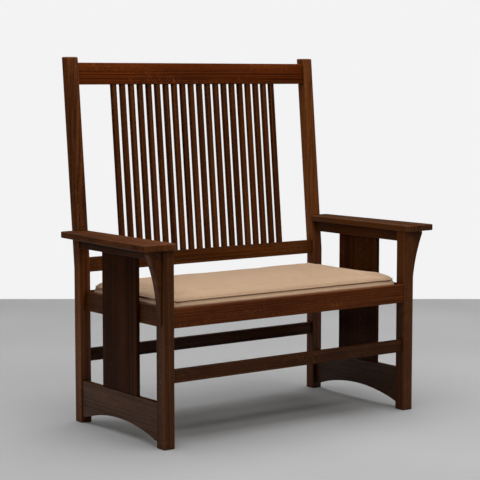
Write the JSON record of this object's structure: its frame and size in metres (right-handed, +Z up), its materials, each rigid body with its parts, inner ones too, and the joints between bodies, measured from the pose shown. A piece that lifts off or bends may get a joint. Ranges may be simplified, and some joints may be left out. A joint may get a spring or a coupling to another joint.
{
  "type": "mission settle",
  "caption": "High-backed oak settle for two with a spindle back, broad flat arms on corbels, slatted sides with arched bottom rails and a drop-in cushioned seat.",
  "frame": {"origin": "on the floor, midway between the outer faces in width and in depth", "axes": "+Z up, the front faces -Y, +X to the right of someone who looks at the front"},
  "size_m": [1.157, 0.5904, 1.173],
  "materials": {
    "dark_oak": "dark fumed quarter-sawn oak with a satin wax finish",
    "oak_pins": "end grain of the same dark oak",
    "seat_support_wood": "planed hardwood without finish",
    "jute_webbing": "coarse woven jute",
    "seat_cover": "plain beige woven cover",
    "screw_steel": "dull steel"
  },
  "bodies": {
    "root": {"arm_left": "dark_oak", "arm_rail_left": "dark_oak", "arm_rail_right": "dark_oak", "arm_right": "dark_oak", "back_post_left": "dark_oak", "back_post_right": "dark_oak", "back_spindle_01": "dark_oak", "back_spindle_02": "dark_oak", "back_spindle_03": "dark_oak", "back_spindle_04": "dark_oak", "back_spindle_05": "dark_oak", "back_spindle_06": "dark_oak", "back_spindle_07": "dark_oak", "back_spindle_08": "dark_oak", "back_spindle_09": "dark_oak", "back_spindle_10": "dark_oak", "back_spindle_11": "dark_oak", "back_spindle_12": "dark_oak", "back_spindle_13": "dark_oak", "back_spindle_14": "dark_oak", "back_spindle_15": "dark_oak", "back_spindle_16": "dark_oak", "back_spindle_17": "dark_oak", "back_spindle_18": "dark_oak", "back_spindle_19": "dark_oak", "back_spindle_20": "dark_oak", "bottom_rail_left": "dark_oak", "bottom_rail_right": "dark_oak", "corbel_left": "dark_oak", "corbel_right": "dark_oak", "corner_block_back_left": "seat_support_wood", "corner_block_back_right": "seat_support_wood", "corner_block_front_left": "seat_support_wood", "corner_block_front_right": "seat_support_wood", "crest_rail": "dark_oak", "crosswise_webbing": "jute_webbing", "dowels": "oak_pins", "draw_pins": "oak_pins", "front_post_left": "dark_oak", "front_post_right": "dark_oak", "lengthwise_webbing": "jute_webbing", "lower_back_rail": "dark_oak", "seat_cleat_back": "seat_support_wood", "seat_cleat_front": "seat_support_wood", "seat_cushion": "seat_cover", "seat_frame_back": "seat_support_wood", "seat_frame_front": "seat_support_wood", "seat_frame_left": "seat_support_wood", "seat_frame_right": "seat_support_wood", "seat_rail_back": "dark_oak", "seat_rail_front": "dark_oak", "seat_rail_left": "dark_oak", "seat_rail_right": "dark_oak", "side_slat_left": "dark_oak", "side_slat_right": "dark_oak", "stretcher_back": "dark_oak", "stretcher_front": "dark_oak", "wood_screws": "screw_steel"}
  },
  "joints": []
}
